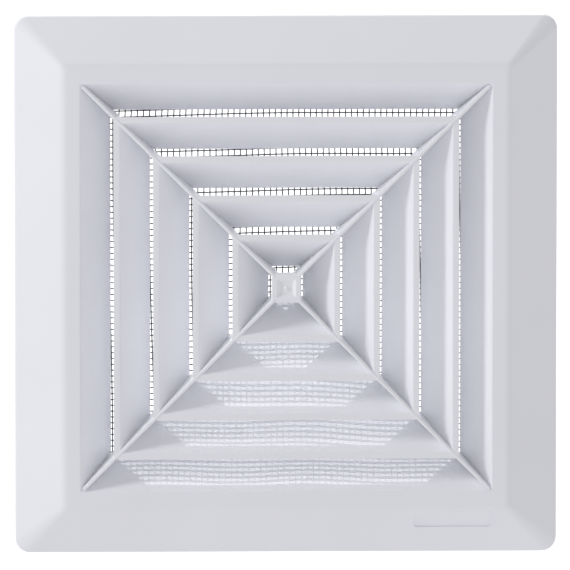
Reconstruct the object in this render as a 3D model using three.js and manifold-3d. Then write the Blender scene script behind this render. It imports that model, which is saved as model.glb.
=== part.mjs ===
// Square four-way ceiling air diffuser with an insect screen.
// Millimetres, +Z up. The face looks toward -Y and the duct lies toward +Y.
// The origin is the centre of the plane that seats on the ceiling board.
import * as THREE from 'three';
import { mergeVertices } from 'three/addons/utils/BufferGeometryUtils.js';
import Module from 'manifold-3d';

const wasm = await Module();
wasm.setup();

// Face frame. Every "half" is half the width of a square that is centred on the duct axis.
const FRAME_HALF = 100;
const FRAME_CORNER = 5.5;
const FRAME_EDGE = 2.5;
const FACE_Y = -13.5;
const BEVEL_INNER_HALF = 82;
const WALL = 2;

// Louvre core: nested square cones whose rims lie in the face plane.
const RING_COUNT = 4;
const RING_1_HALF = 63.7;
const RING_PITCH = 14.55;
const RIM_WIDTH = 2.5;
const SIGHT_GAP = 0.65;
const CORE_BACK_Y = 0.7;
const WEB_THICKNESS = 1.3;
const WEB_CREST_Y = -13.8;
const LAP_Y = -6.4;
const CLEARANCE = 0.3;
const BOSS_THICKNESS = 2.8;
const BOSS_RECESS_HALF = 3.55;
const BOSS_RECESS_FLOOR_HALF = 2.3;
const BOSS_RECESS_DEPTH = 1;

// Screen and its frame, clamped between the outer cone and the ledge in the neck.
const CONE_BACK_Y = 1;
const SCREEN_THICKNESS = 0.4;
const SCREEN_HALF = 71.5;
const SCREEN_FRAME_HALF = 72;
const SCREEN_FRAME_INNER_HALF = 65.6;
const SCREEN_FRAME_THICKNESS = 2;

// Neck collar: a mounting plate inside the bezel with a square neck through the ceiling hole.
const PLATE_FRONT_Y = -5;
const PLATE_THICKNESS = 2;
const PLATE_HALF = 90;
const NECK_HALF = 74.3;
const NECK_CORNER = 4;
const NECK_END_Y = 32;
const LEDGE_HALF = 66.5;
const LEDGE_THICKNESS = 2;
const GASKET_INNER_HALF = 83.5;

// Screws and their bosses.
const SCREW_AT = 79;
const BOSS_RADIUS = 3.5;
const SCREW_RADIUS = 1.2;
const SCREW_LENGTH = 7.5;
const SCREW_HEAD_RADIUS = 2.8;
const SCREW_HEAD_HEIGHT = 2;

// Ribs that stiffen the hollow bezel.
const RIB_OFFSET = 34;
const RIB_THICKNESS = 1.5;

// Sunk plate panel on the lower slope.
const PANEL_LENGTH = 29.5;
const PANEL_WIDTH = 8;
const PANEL_CORNER = 1.3;
const PANEL_DEPTH = 0.5;
const PANEL_X = 61.3;
const PANEL_HALF = 86.8;

// Clamp clips: a sprung arm on a pin between two lugs, one clip on each side of the neck.
const PIN_Y = 16;
const PIN_HALF = 77.6;
const PIN_RADIUS = 1;
const PIN_LENGTH = 22;
const PIN_HEAD_RADIUS = 1.9;
const PIN_HEAD_LENGTH = 1;
const LUG_OFFSET = 9;
const LUG_THICKNESS = 2.5;
const LUG_RADIUS = 3.4;
const ARM_REACH = 20;
const ARM_WIDTH = 14;
const ARM_THICKNESS = 1;
const ARM_FOOT = 3.3;
const KNUCKLE_RADIUS = 2.2;
const KNUCKLE_LENGTH = 4;
const SPRING_WIRE_RADIUS = 0.35;
const SPRING_COIL_RADIUS = 2.1;
const SPRING_TURNS = 3.25;
const SPRING_COIL_LENGTH = 4.6;

const BOSS_HALF = RING_1_HALF - RING_COUNT * RING_PITCH;
const LIP_HALF = RING_1_HALF + RING_PITCH - RIM_WIDTH;
const PLATE_BACK_Y = PLATE_FRONT_Y + PLATE_THICKNESS;
const SCREEN_BACK_Y = CONE_BACK_Y + SCREEN_THICKNESS;
const LEDGE_FRONT_Y = SCREEN_BACK_Y + SCREEN_FRAME_THICKNESS;
const HOLE_RADIUS = PIN_RADIUS + CLEARANCE;

const whitePlastic = new THREE.MeshStandardMaterial({ color: 0xdfe1ea, roughness: 0.45, metalness: 0 });
const netWire = new THREE.MeshStandardMaterial({ color: 0x4a4d55, roughness: 0.5, metalness: 0.3 });
const steel = new THREE.MeshStandardMaterial({ color: 0xb4b7bb, roughness: 0.35, metalness: 1 });
const foam = new THREE.MeshStandardMaterial({ color: 0x3a3b3e, roughness: 0.95, metalness: 0 });

// Solid and geometry conversions.

function toSolid(geometry) {
  const bare = geometry.index ? geometry.toNonIndexed() : geometry.clone();
  bare.deleteAttribute('normal');
  bare.deleteAttribute('uv');
  const merged = mergeVertices(bare, 1e-4);
  return new wasm.Manifold(new wasm.Mesh({
    numProp: 3,
    vertProperties: new Float32Array(merged.attributes.position.array),
    triVerts: new Uint32Array(merged.index.array),
  }));
}

function toGeometry(solid) {
  const mesh = solid.getMesh();
  const geometry = new THREE.BufferGeometry();
  geometry.setAttribute('position', new THREE.BufferAttribute(mesh.vertProperties, 3));
  geometry.setIndex(new THREE.BufferAttribute(mesh.triVerts, 1));
  geometry.computeVertexNormals();
  return geometry;
}

function boxSolid(xRange, yRange, zRange) {
  const ranges = [xRange, yRange, zRange];
  const sizes = ranges.map(([from, to]) => to - from);
  const middles = ranges.map(([from, to]) => (from + to) / 2);
  return toSolid(new THREE.BoxGeometry(...sizes).translate(...middles));
}

// A cylinder along X or Y between two places on that axis.
function rodSolid(axis, radius, from, to, at, sides = 20) {
  const geometry = new THREE.CylinderGeometry(radius, radius, to - from, sides);
  if (axis === 'x') geometry.rotateZ(Math.PI / 2);
  geometry.translate(
    axis === 'x' ? (from + to) / 2 : at.x,
    axis === 'y' ? (from + to) / 2 : at.y,
    at.z,
  );
  return toSolid(geometry);
}

// One loop of a rounded square in the plane at depth y.
function roundedLoop(half, corner, y, cornerSteps) {
  const points = [];
  for (let quarter = 0; quarter < 4; quarter += 1) {
    const middle = Math.PI / 4 + quarter * Math.PI / 2;
    const centreX = Math.sign(Math.cos(middle)) * (half - corner);
    const centreZ = Math.sign(Math.sin(middle)) * (half - corner);
    for (let step = 0; step <= cornerSteps; step += 1) {
      const angle = (quarter + step / Math.max(cornerSteps, 1)) * Math.PI / 2;
      points.push([centreX + corner * Math.cos(angle), y, centreZ + corner * Math.sin(angle)]);
    }
  }
  return points;
}

// A closed profile of [half, y, corner] swept round the square: a frame with a hole through it.
function squareFrame(profile, cornerSteps = 0) {
  const loops = profile.map(([half, y, corner = 0]) => roundedLoop(half, corner, y, cornerSteps));
  const count = loops[0].length;
  const positions = loops.flat(2);
  const index = [];
  for (let ring = 0; ring < loops.length; ring += 1) {
    const next = (ring + 1) % loops.length;
    for (let i = 0; i < count; i += 1) {
      const j = (i + 1) % count;
      const a = ring * count + i;
      const b = ring * count + j;
      const c = next * count + j;
      const d = next * count + i;
      index.push(a, b, c, a, c, d);
    }
  }
  const geometry = new THREE.BufferGeometry();
  geometry.setAttribute('position', new THREE.Float32BufferAttribute(positions, 3));
  geometry.setIndex(index);
  return toSolid(geometry);
}

// Turns a solid by quarter turns about the duct axis.
function quarterTurned(solid, quarters) {
  return solid.rotate([0, quarters * 90, 0]);
}

// Makes four copies of a solid, one on each side or corner of the square.
function onFourSides(solid) {
  return [0, 1, 2, 3].map((quarter) => quarterTurned(solid, quarter));
}

function joined(solids) {
  return solids.reduce((whole, solid) => whole.add(solid));
}

function cut(solid, tools) {
  return tools.reduce((rest, tool) => rest.subtract(tool), solid);
}

// An outline in its own plane, extruded by a thickness centred on that plane.
function plate(points, thickness) {
  const shape = new THREE.Shape(points.map(([u, v]) => new THREE.Vector2(u, v)));
  const geometry = new THREE.ExtrudeGeometry(shape, { depth: thickness, bevelEnabled: false });
  geometry.translate(0, 0, -thickness / 2);
  return geometry;
}

// Half size of a louvre's front rim: ring 0 is the cone that belongs to the face frame.
function rimHalf(ring) {
  return RING_1_HALF + (1 - ring) * RING_PITCH;
}

// Half size of the inner face of a louvre's cone at a depth y.
function coneHalf(ring, y) {
  const backHalf = rimHalf(ring + 1) + SIGHT_GAP;
  const frontHalf = rimHalf(ring) - RIM_WIDTH;
  const backY = ring === 0 ? CONE_BACK_Y : CORE_BACK_Y;
  return backHalf + (frontHalf - backHalf) * (backY - y) / (backY - FACE_Y);
}

function makeFaceFrame() {
  const bevelRun = FRAME_HALF - BEVEL_INNER_HALF;
  const bevelRise = -FRAME_EDGE - FACE_Y;
  const bevelLength = Math.hypot(bevelRun, bevelRise);
  const slope = bevelRise / bevelRun;
  const hollowY = FACE_Y + WALL;
  const skirtHalf = FRAME_HALF - WALL;
  const skirtY = -FRAME_EDGE - WALL * slope + WALL * bevelLength / bevelRun;
  const hollowHalf = skirtHalf - (skirtY - hollowY) / slope;
  const shell = squareFrame([
    [FRAME_HALF, 0, FRAME_CORNER],
    [FRAME_HALF, -FRAME_EDGE, FRAME_CORNER],
    [BEVEL_INNER_HALF, FACE_Y, 1.5],
    [LIP_HALF, FACE_Y, 0.7],
    [coneHalf(0, CONE_BACK_Y), CONE_BACK_Y, 0.3],
    [coneHalf(0, CONE_BACK_Y) + RIM_WIDTH, CONE_BACK_Y, 0.6],
    [coneHalf(0, hollowY) + RIM_WIDTH, hollowY, 0.8],
    [hollowHalf, hollowY, 1.2],
    [skirtHalf, skirtY, FRAME_CORNER - WALL],
    [skirtHalf, 0, FRAME_CORNER - WALL],
  ], 4);

  const boss = rodSolid('y', BOSS_RADIUS, hollowY - 0.5, PLATE_FRONT_Y, { x: SCREW_AT, z: SCREW_AT });
  const holeFrom = PLATE_BACK_Y - SCREW_LENGTH - CLEARANCE;
  const hole = rodSolid('y', SCREW_RADIUS + CLEARANCE, holeFrom, 0, { x: SCREW_AT, z: SCREW_AT });

  const ribInner = hollowHalf + 1;
  const ribOuter = skirtHalf + 0.5;
  const ribProfile = [
    [ribInner, hollowY - 0.6],
    [ribOuter, -FRAME_EDGE - WALL / 2],
    [ribOuter, -0.6],
    [PLATE_HALF + 1, -0.6],
    [PLATE_HALF + 1, PLATE_FRONT_Y],
    [ribInner, PLATE_FRONT_Y],
  ];
  // The plate() outline is in (half, depth); this turn stands it along +Z at a given X.
  const rib = toSolid(plate(ribProfile, RIB_THICKNESS)
    .applyMatrix4(new THREE.Matrix4().set(0, 0, 1, 0, 0, 1, 0, 0, -1, 0, 0, 0, 0, 0, 0, 1)));
  const ribs = [-RIB_OFFSET, RIB_OFFSET].map((offset) => rib.translate([offset, 0, 0]));

  const faceY = -FRAME_EDGE - (FRAME_HALF - PANEL_HALF) * slope;
  const tilt = Math.atan(slope);
  const panel = toSolid(roundedPlate(PANEL_LENGTH, PANEL_WIDTH, PANEL_CORNER, 2 * PANEL_DEPTH)
    .rotateX(Math.PI / 2)
    .rotateX(-tilt)
    .translate(PANEL_X, faceY, -PANEL_HALF));

  const body = joined([shell, ...onFourSides(boss), ...onFourSides(joined(ribs))]);
  return cut(body, [...onFourSides(hole), panel]);
}

function roundedPlate(length, width, corner, thickness) {
  const x = length / 2;
  const y = width / 2;
  const shape = new THREE.Shape();
  shape.moveTo(-x + corner, -y);
  shape.lineTo(x - corner, -y);
  shape.absarc(x - corner, -y + corner, corner, -Math.PI / 2, 0);
  shape.lineTo(x, y - corner);
  shape.absarc(x - corner, y - corner, corner, 0, Math.PI / 2);
  shape.lineTo(-x + corner, y);
  shape.absarc(-x + corner, y - corner, corner, Math.PI / 2, Math.PI);
  shape.lineTo(-x, -y + corner);
  shape.absarc(-x + corner, -y + corner, corner, Math.PI, 1.5 * Math.PI);
  const settings = { depth: thickness, bevelEnabled: false, curveSegments: 4 };
  const geometry = new THREE.ExtrudeGeometry(shape, settings);
  geometry.translate(0, 0, -thickness / 2);
  return geometry;
}

// A square cone with a flat front rim. Its corners are notched from the front for the webs.
function makeLouvreRing(ring) {
  const cone = squareFrame([
    [rimHalf(ring), FACE_Y],
    [coneHalf(ring, FACE_Y), FACE_Y],
    [coneHalf(ring, CORE_BACK_Y), CORE_BACK_Y],
    [coneHalf(ring, CORE_BACK_Y) + RIM_WIDTH, CORE_BACK_Y],
  ]);
  const reach = 2 * FRAME_HALF;
  const halfNotch = WEB_THICKNESS / 2 + CLEARANCE;
  const notch = boxSolid([-reach, reach], [WEB_CREST_Y - 1, LAP_Y + CLEARANCE / 2], [-halfNotch, halfNotch]);
  return cut(cone, [notch.rotate([0, 45, 0]), notch.rotate([0, -45, 0])]);
}

// One diagonal web in (distance along the diagonal, depth), slotted from the back for the rings.
function webProfile() {
  const sideways = CLEARANCE * Math.SQRT2 * 1.1;
  const slotTopY = LAP_Y - CLEARANCE / 2;
  const endHalf = (y) => Math.SQRT2 * coneHalf(0, y) - sideways - WEB_THICKNESS / 2;
  const outline = [
    [0, CORE_BACK_Y],
    [0, WEB_CREST_Y],
    [endHalf(WEB_CREST_Y) - 2.2, WEB_CREST_Y],
    [endHalf(WEB_CREST_Y) - 0.9, WEB_CREST_Y + 0.6],
    [endHalf(WEB_CREST_Y + 1.8) - 0.1, WEB_CREST_Y + 1.8],
    [endHalf(CORE_BACK_Y), CORE_BACK_Y],
  ];
  for (let ring = 1; ring <= RING_COUNT; ring += 1) {
    const outer = (y) => Math.SQRT2 * (coneHalf(ring, y) + RIM_WIDTH) + sideways;
    const inner = (y) => Math.SQRT2 * coneHalf(ring, y) - sideways - WEB_THICKNESS / 2;
    outline.push([outer(CORE_BACK_Y), CORE_BACK_Y]);
    outline.push([outer(slotTopY), slotTopY]);
    outline.push([inner(slotTopY), slotTopY]);
    outline.push([inner(CORE_BACK_Y), CORE_BACK_Y]);
  }
  return outline;
}

function makeCoreCross() {
  // The outline is in (distance, depth): this stands it along +X with its thickness along Z.
  const web = toSolid(plate(webProfile(), WEB_THICKNESS));
  const arms = [45, 135, 225, 315].map((angle) => web.rotate([0, angle, 0]));
  const boss = toSolid(taperedBlock(BOSS_HALF, FACE_Y, BOSS_HALF - 0.1, FACE_Y + BOSS_THICKNESS));
  const recess = toSolid(taperedBlock(
    BOSS_RECESS_HALF + 0.8,
    FACE_Y - 0.8,
    BOSS_RECESS_FLOOR_HALF,
    FACE_Y + BOSS_RECESS_DEPTH,
  ));
  return joined([boss, ...arms]).subtract(recess);
}

// A square block whose half size changes from the front to the back.
function taperedBlock(frontHalf, frontY, backHalf, backY) {
  const geometry = new THREE.CylinderGeometry(
    backHalf * Math.SQRT2,
    frontHalf * Math.SQRT2,
    backY - frontY,
    4,
  );
  geometry.rotateY(Math.PI / 4);
  geometry.translate(0, (frontY + backY) / 2, 0);
  return geometry;
}

function makeInsectScreen() {
  const range = [-SCREEN_HALF, SCREEN_HALF];
  return boxSolid(range, [CONE_BACK_Y, SCREEN_BACK_Y], range);
}

function makeScreenFrame() {
  return squareFrame([
    [SCREEN_FRAME_HALF, SCREEN_BACK_Y, 2],
    [SCREEN_FRAME_INNER_HALF, SCREEN_BACK_Y, 1],
    [SCREEN_FRAME_INNER_HALF, LEDGE_FRONT_Y, 1],
    [SCREEN_FRAME_HALF, LEDGE_FRONT_Y, 2],
  ], 3);
}

function makeNeckCollar() {
  const neckInner = NECK_HALF - WALL;
  const innerCorner = NECK_CORNER - WALL;
  const ledgeBackY = LEDGE_FRONT_Y + LEDGE_THICKNESS;
  const shell = squareFrame([
    [PLATE_HALF, PLATE_BACK_Y, NECK_CORNER],
    [PLATE_HALF, PLATE_FRONT_Y, NECK_CORNER],
    [neckInner, PLATE_FRONT_Y, innerCorner],
    [neckInner, LEDGE_FRONT_Y, innerCorner],
    [LEDGE_HALF, LEDGE_FRONT_Y, 1],
    [LEDGE_HALF, ledgeBackY, 1],
    [neckInner, ledgeBackY, innerCorner],
    [neckInner, NECK_END_Y, innerCorner],
    [NECK_HALF, NECK_END_Y, NECK_CORNER],
    [NECK_HALF, PLATE_BACK_Y, NECK_CORNER],
  ], 4);

  const lugBlock = boxSolid(
    [-LUG_THICKNESS / 2, LUG_THICKNESS / 2],
    [PIN_Y - LUG_RADIUS, PIN_Y + LUG_RADIUS],
    [NECK_HALF - 0.5, PIN_HALF],
  );
  const lugEnd = rodSolid('x', LUG_RADIUS, -LUG_THICKNESS / 2, LUG_THICKNESS / 2, { y: PIN_Y, z: PIN_HALF });
  const lug = lugBlock.add(lugEnd);
  const lugs = [-LUG_OFFSET, LUG_OFFSET].map((offset) => lug.translate([offset, 0, 0]));
  const pinHole = rodSolid('x', HOLE_RADIUS, -LUG_OFFSET * 2, LUG_OFFSET * 2, { y: PIN_Y, z: PIN_HALF });
  const screwHole = rodSolid(
    'y',
    SCREW_RADIUS + CLEARANCE,
    PLATE_FRONT_Y - 1,
    PLATE_BACK_Y + 1,
    { x: SCREW_AT, z: SCREW_AT },
  );
  const body = joined([shell, ...onFourSides(joined(lugs))]);
  return cut(body, [...onFourSides(pinHole), ...onFourSides(screwHole)]);
}

function makeFoamGasket() {
  return squareFrame([
    [PLATE_HALF, PLATE_BACK_Y, NECK_CORNER],
    [GASKET_INNER_HALF, PLATE_BACK_Y, 1],
    [GASKET_INNER_HALF, 0, 1],
    [PLATE_HALF, 0, NECK_CORNER],
  ], 3);
}

// A pan-head screw driven from the back, with a cross slot in its head.
function makeCollarScrew() {
  const at = { x: SCREW_AT, z: SCREW_AT };
  const headBackY = PLATE_BACK_Y + SCREW_HEAD_HEIGHT;
  const shank = rodSolid('y', SCREW_RADIUS, PLATE_BACK_Y - SCREW_LENGTH, PLATE_BACK_Y + 0.2, at, 12);
  const head = rodSolid('y', SCREW_HEAD_RADIUS, PLATE_BACK_Y, headBackY, at, 20);
  const slotDepth = SCREW_HEAD_HEIGHT * 0.55;
  const slot = boxSolid([-1.6, 1.6], [headBackY - slotDepth, headBackY + 1], [-0.3, 0.3]);
  const crossSlot = slot.rotate([0, 90, 0]);
  const slots = [slot, crossSlot].map((half) => half.translate([SCREW_AT, 0, SCREW_AT]));
  return cut(head.add(shank), slots);
}

// The clip on the +Z side, lying outward across the back of the ceiling board.
function makeClipArm() {
  const halfWidth = ARM_WIDTH / 2;
  const tipZ = PIN_HALF + ARM_REACH;
  const blade = boxSolid(
    [-halfWidth, halfWidth],
    [PIN_Y - ARM_THICKNESS / 2, PIN_Y + ARM_THICKNESS / 2],
    [PIN_HALF, tipZ],
  );
  const foot = boxSolid(
    [-halfWidth, halfWidth],
    [PIN_Y - ARM_FOOT, PIN_Y],
    [tipZ - ARM_THICKNESS, tipZ],
  );
  const coilWindow = boxSolid(
    [-halfWidth + KNUCKLE_LENGTH, halfWidth - KNUCKLE_LENGTH],
    [PIN_Y - 3, PIN_Y + 3],
    [PIN_HALF - 3, PIN_HALF + 6.8],
  );
  const knuckles = [-1, 1].flatMap((side) => {
    const inner = side * (halfWidth - KNUCKLE_LENGTH);
    const outer = side * halfWidth;
    const from = Math.min(inner, outer);
    const to = Math.max(inner, outer);
    const barrel = rodSolid('x', KNUCKLE_RADIUS, from, to, { y: PIN_Y, z: PIN_HALF });
    const heel = boxSolid(
      [from, to],
      [PIN_Y - KNUCKLE_RADIUS - 1.2, PIN_Y - 0.5],
      [NECK_HALF + 0.4, PIN_HALF - 1.6],
    );
    return [barrel, heel];
  });
  const pinHole = rodSolid('x', HOLE_RADIUS, -ARM_WIDTH, ARM_WIDTH, { y: PIN_Y, z: PIN_HALF });
  return cut(joined([blade.subtract(coilWindow), foot, ...knuckles]), [pinHole]);
}

function makeClipPin() {
  const at = { y: PIN_Y, z: PIN_HALF };
  const end = PIN_LENGTH / 2;
  const rod = rodSolid('x', PIN_RADIUS, -end, end, at, 16);
  const head = rodSolid('x', PIN_HEAD_RADIUS, end - 0.2, end - 0.2 + PIN_HEAD_LENGTH, at, 16);
  return rod.add(head);
}

// A torsion spring round the pin: one leg lies along the neck, the other passes through the arm's window.
function makeClipSpring() {
  const stepsPerTurn = 12;
  const steps = SPRING_TURNS * stepsPerTurn;
  const startX = -SPRING_COIL_LENGTH / 2;
  const points = [
    new THREE.Vector3(startX, PIN_Y + 10, PIN_HALF - SPRING_COIL_RADIUS),
    new THREE.Vector3(startX, PIN_Y + 5, PIN_HALF - SPRING_COIL_RADIUS),
  ];
  for (let step = 0; step <= steps; step += 1) {
    const angle = -Math.PI / 2 - step / stepsPerTurn * 2 * Math.PI;
    points.push(new THREE.Vector3(
      startX + SPRING_COIL_LENGTH * step / steps,
      PIN_Y + SPRING_COIL_RADIUS * Math.cos(angle),
      PIN_HALF + SPRING_COIL_RADIUS * Math.sin(angle),
    ));
  }
  const restY = PIN_Y + ARM_THICKNESS / 2 + SPRING_WIRE_RADIUS + CLEARANCE;
  points.push(new THREE.Vector3(-startX, (PIN_Y - SPRING_COIL_RADIUS + restY) / 2, PIN_HALF + 4));
  points.push(new THREE.Vector3(-startX, restY, PIN_HALF + 8));
  points.push(new THREE.Vector3(-startX, restY, PIN_HALF + 11));
  const section = new THREE.Shape();
  section.absarc(0, 0, SPRING_WIRE_RADIUS, 0, 2 * Math.PI);
  const geometry = new THREE.ExtrudeGeometry(section, {
    extrudePath: new THREE.CatmullRomCurve3(points, false, 'centripetal'),
    steps: 70,
    curveSegments: 3,
    bevelEnabled: false,
  });
  return toSolid(geometry);
}

const diffuser = new THREE.Group();

function addPiece(name, solid, material, quarters = 0) {
  const mesh = new THREE.Mesh(toGeometry(solid), material);
  mesh.name = name;
  mesh.rotation.y = quarters * Math.PI / 2;
  diffuser.add(mesh);
}

addPiece('face_frame', makeFaceFrame(), whitePlastic);
for (let ring = 1; ring <= RING_COUNT; ring += 1) {
  addPiece(`louvre_ring_${ring}`, makeLouvreRing(ring), whitePlastic);
}
addPiece('core_cross', makeCoreCross(), whitePlastic);
addPiece('insect_screen', makeInsectScreen(), netWire);
addPiece('screen_frame', makeScreenFrame(), whitePlastic);
addPiece('neck_collar', makeNeckCollar(), whitePlastic);
addPiece('foam_gasket', makeFoamGasket(), foam);
const clipSides = ['top', 'right', 'bottom', 'left'];
clipSides.forEach((side, quarters) => {
  addPiece(`collar_screw_${quarters + 1}`, makeCollarScrew(), steel, quarters);
  addPiece(`clip_arm_${side}`, makeClipArm(), steel, quarters);
  addPiece(`clip_pin_${side}`, makeClipPin(), steel, quarters);
  addPiece(`clip_spring_${side}`, makeClipSpring(), steel, quarters);
});

export default diffuser;
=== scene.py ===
import math

import bmesh
import bpy
from mathutils import Matrix, Vector


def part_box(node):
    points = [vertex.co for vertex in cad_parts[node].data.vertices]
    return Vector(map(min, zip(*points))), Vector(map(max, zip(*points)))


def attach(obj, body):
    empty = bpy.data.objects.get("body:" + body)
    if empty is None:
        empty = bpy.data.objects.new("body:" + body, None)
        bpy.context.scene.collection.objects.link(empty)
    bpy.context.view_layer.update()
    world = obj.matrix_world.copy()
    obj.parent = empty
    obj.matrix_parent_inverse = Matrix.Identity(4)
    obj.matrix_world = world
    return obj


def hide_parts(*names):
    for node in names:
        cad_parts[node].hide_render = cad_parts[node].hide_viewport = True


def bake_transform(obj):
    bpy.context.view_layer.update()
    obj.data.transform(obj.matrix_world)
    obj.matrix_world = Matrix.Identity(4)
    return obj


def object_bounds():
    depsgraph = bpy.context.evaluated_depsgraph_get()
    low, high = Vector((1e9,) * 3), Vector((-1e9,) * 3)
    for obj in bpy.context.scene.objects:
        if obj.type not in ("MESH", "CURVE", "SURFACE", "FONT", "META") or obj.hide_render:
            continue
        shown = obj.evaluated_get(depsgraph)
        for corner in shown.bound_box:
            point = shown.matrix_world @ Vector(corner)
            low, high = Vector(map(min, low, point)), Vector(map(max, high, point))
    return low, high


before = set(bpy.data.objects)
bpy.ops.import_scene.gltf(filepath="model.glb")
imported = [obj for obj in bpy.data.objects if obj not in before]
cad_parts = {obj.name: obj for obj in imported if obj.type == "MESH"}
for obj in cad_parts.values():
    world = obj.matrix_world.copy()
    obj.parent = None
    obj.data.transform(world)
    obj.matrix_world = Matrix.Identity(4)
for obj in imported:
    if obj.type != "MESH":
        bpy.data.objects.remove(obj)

cad_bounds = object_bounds()

# Sizes are in millimetres and become metres in make_object. The duct axis is Y and the face looks toward -Y.
# A profile point is (half width of the square, depth along Y, corner radius of the square, edge rounding).
MM = 0.001


def low_mm(node, axis):
    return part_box(node)[0][axis] / MM


def high_mm(node, axis):
    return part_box(node)[1][axis] / MM


# Driving sizes, read from the frame.
FRAME_HALF = high_mm("face_frame", 0)
FACE_Y = low_mm("face_frame", 1)
CONE_BACK_Y = high_mm("face_frame", 1)
RING_COUNT = 4
RIM_HALVES = [high_mm(f"louvre_ring_{ring}", 0) for ring in range(1, RING_COUNT + 1)]
CORE_BACK_Y = high_mm("louvre_ring_1", 1)
CREST_Y = low_mm("core_cross", 1)
RING_PITCH = RIM_HALVES[0] - RIM_HALVES[1]
SCREEN_HALF = high_mm("insect_screen", 0)
SCREEN_FRONT_Y = low_mm("insect_screen", 1)
SCREEN_BACK_Y = high_mm("insect_screen", 1)
SCREEN_FRAME_HALF = high_mm("screen_frame", 0)
LEDGE_FRONT_Y = high_mm("screen_frame", 1)
PLATE_HALF = high_mm("neck_collar", 0)
PLATE_FRONT_Y = low_mm("neck_collar", 1)
NECK_END_Y = high_mm("neck_collar", 1)
PLATE_BACK_Y = low_mm("foam_gasket", 1)
PIN_Y = (low_mm("clip_pin_top", 1) + high_mm("clip_pin_top", 1)) / 2
PIN_HALF = (low_mm("clip_pin_top", 2) + high_mm("clip_pin_top", 2)) / 2

# Sizes that the boxes don't give.
WALL = 2.0
RIM_WIDTH = 2.5
SIGHT_GAP = 0.65
FRAME_EDGE = 2.5
FRAME_CORNER = 5.5
BEVEL_INNER_HALF = 82.0
LAP_Y = -6.4
NECK_HALF = 74.3
NECK_CORNER = 4.0
LEDGE_HALF = 66.5
LEDGE_THICKNESS = 2.0
GASKET_INNER_HALF = 83.5
SCREEN_FRAME_INNER_HALF = 65.6
SCREW_AT = 79.0
SCREW_HOLE_RADIUS = 1.5
RIB_OFFSETS = (-34, 34)
RIB_THICKNESS = 1.5

# Run and rise of the bezel's slope.
BEVEL_RUN = FRAME_HALF - BEVEL_INNER_HALF
BEVEL_RISE = -FRAME_EDGE - FACE_Y


# Mesh helpers.
SMALLEST_CORNER = 0.02
SMALLEST_RADIUS = 0.001


def make_object(name, vertices, faces):
    """A mesh object in metres from vertices in millimetres, with its normals turned outward."""
    mesh = bpy.data.meshes.new(name)
    mesh.from_pydata([Vector(v) * MM for v in vertices], [], faces)
    mesh.update()
    work = bmesh.new()
    work.from_mesh(mesh)
    bmesh.ops.recalc_face_normals(work, faces=work.faces)
    work.to_mesh(mesh)
    work.free()
    item = bpy.data.objects.new(name, mesh)
    bpy.context.scene.collection.objects.link(item)
    return item


def settle(item):
    """Applies the modifiers of an object to its mesh."""
    bpy.context.view_layer.update()
    evaluated = item.evaluated_get(bpy.context.evaluated_depsgraph_get())
    settled = bpy.data.meshes.new_from_object(evaluated)
    old = item.data
    item.modifiers.clear()
    item.data = settled
    bpy.data.meshes.remove(old)


def discard(item):
    mesh = item.data
    bpy.data.objects.remove(item)
    bpy.data.meshes.remove(mesh)


def combine(target, tool, operation):
    """Joins or cuts target with tool, which is used up."""
    modifier = target.modifiers.new("combine", "BOOLEAN")
    modifier.operation = operation
    modifier.solver = "EXACT"
    modifier.object = tool
    settle(target)
    discard(tool)


def smooth(item, angle=35, flat_above=math.inf):
    """Smooth shading with sharp edges above an angle, and flat faces above an area in square mm."""
    item.data.polygons.foreach_set("use_smooth", [True] * len(item.data.polygons))
    item.data.set_sharp_from_angle(angle=math.radians(angle))
    if flat_above < math.inf:
        limit = flat_above * MM * MM
        item.data.polygons.foreach_set("use_smooth", [face.area < limit for face in item.data.polygons])
        return
    modifier = item.modifiers.new("weighted", "WEIGHTED_NORMAL")
    modifier.keep_sharp = True
    modifier.weight = 100
    settle(item)


def rounded_loop(half_x, half_z, corner, y, steps):
    """The outline of a rectangle with round corners at one depth."""
    corner = max(corner, SMALLEST_CORNER)
    points = []
    for quarter in range(4):
        middle = math.radians(45 + 90 * quarter)
        centre_x = math.copysign(half_x - corner, math.cos(middle))
        centre_z = math.copysign(half_z - corner, math.sin(middle))
        for step in range(steps + 1):
            angle = math.radians(90 * (quarter + step / steps))
            points.append((centre_x + corner * math.cos(angle), y, centre_z + corner * math.sin(angle)))
    return points


def softened(profile, steps=4):
    """Rounds the corners of a closed profile by the last value of each point."""
    result = []
    for index, point in enumerate(profile):
        here = Vector(point[:3])
        rounding = point[3]
        if not rounding:
            result.append(here)
            continue
        before = Vector(profile[index - 1][:3]) - here
        after = Vector(profile[(index + 1) % len(profile)][:3]) - here
        start = here + before * (rounding / math.hypot(before.x, before.y))
        end = here + after * (rounding / math.hypot(after.x, after.y))
        for step in range(steps + 1):
            t = step / steps
            result.append(start.lerp(here, t).lerp(here.lerp(end, t), t))
    return result


def bridge(loops, closed):
    """Faces between loops of equal length, with end caps unless the loops close on themselves."""
    count = len(loops[0])
    faces = []
    for ring in range(len(loops) if closed else len(loops) - 1):
        following = (ring + 1) % len(loops)
        for i in range(count):
            j = (i + 1) % count
            faces.append((ring * count + i, ring * count + j, following * count + j, following * count + i))
    if not closed:
        faces.append(tuple(range(count)))
        faces.append(tuple(range((len(loops) - 1) * count, len(loops) * count)))
    return faces


def loft(name, loops, closed=False):
    """A solid through loops of equal length, with end caps unless it closes on itself."""
    return make_object(name, [v for loop in loops for v in loop], bridge(loops, closed))


def square_frame(name, profile, steps=8):
    """Sweeps a closed profile round a square."""
    loops = [rounded_loop(half, half, corner, y, steps) for half, y, corner in softened(profile)]
    return loft(name, loops, closed=True)


def block(name, x_range, y_range, z_range):
    """A plain box."""
    (left, right), (low, high) = x_range, z_range
    outline = [(left, low), (right, low), (right, high), (left, high)]
    return loft(name, [[(x, y, z) for x, z in outline] for y in y_range])


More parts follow.
